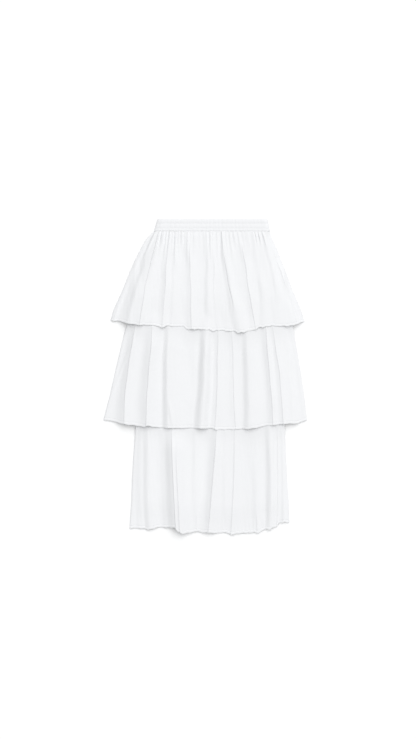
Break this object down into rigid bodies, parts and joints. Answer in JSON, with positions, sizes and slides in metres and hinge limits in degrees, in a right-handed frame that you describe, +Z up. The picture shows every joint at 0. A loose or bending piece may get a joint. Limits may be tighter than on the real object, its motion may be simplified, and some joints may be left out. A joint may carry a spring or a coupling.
{
  "type": "tiered ruffle skirt laid flat",
  "caption": "Tiered gathered skirt in plain cotton poplin with an elastic waistband, laid flat with its front up.",
  "frame": {"origin": "centre of the bounding box's bottom, on the surface that the skirt lies on", "axes": "+Y from the hem towards the waistband, +X across the front to its right as seen from above, +Z up from the surface through the front"},
  "size_m": [0.528, 0.82, 0.0244],
  "materials": {
    "poplin": "plain-woven cotton poplin, crisp and matte",
    "waistband_cloth": "the same poplin, ruched over elastic",
    "thread": "matte cotton sewing thread"
  },
  "bodies": {
    "root": {"waistband": "waistband_cloth", "tier_1_front": "poplin", "tier_1_back": "poplin", "tier_2_front": "poplin", "tier_2_back": "poplin", "tier_3_front": "poplin", "tier_3_back": "poplin"}
  },
  "joints": []
}
